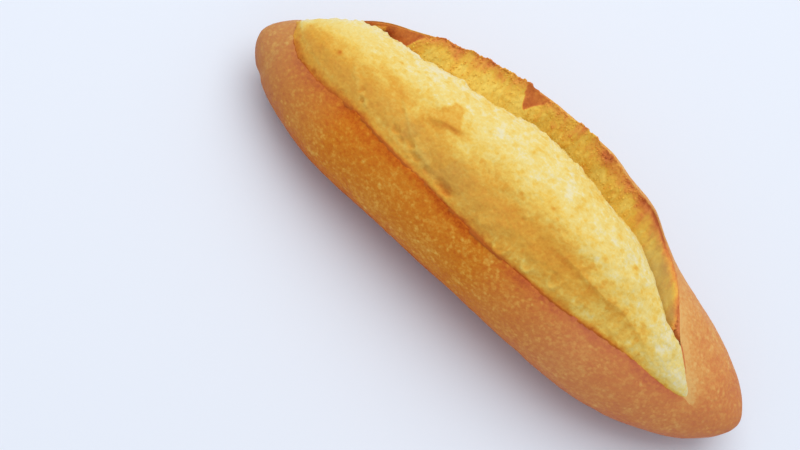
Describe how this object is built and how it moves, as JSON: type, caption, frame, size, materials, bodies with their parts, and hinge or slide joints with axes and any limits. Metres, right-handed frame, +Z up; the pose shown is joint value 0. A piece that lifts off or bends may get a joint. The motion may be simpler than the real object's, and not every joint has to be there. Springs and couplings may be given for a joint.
{
  "type": "banh mi roll",
  "caption": "Short plump crusty wheat roll with rounded tips, one long slash burst open along the top, a raised torn ear behind it and a pale swollen bloom.",
  "frame": {"origin": "on the resting surface, below the centre of the roll's bounding box", "axes": "+X along the roll to the end where the slash runs out to a point, -Y the side that the slash leans towards, +Z up"},
  "size_m": [0.21, 0.071, 0.0575],
  "materials": {
    "crust": "thin baked crust, golden brown with pale blisters, soft satin sheen",
    "bloom": "matt torn crumb of the opened slash, pale creamy yellow"
  },
  "bodies": {
    "root": {"roll": "crust"}
  },
  "joints": []
}
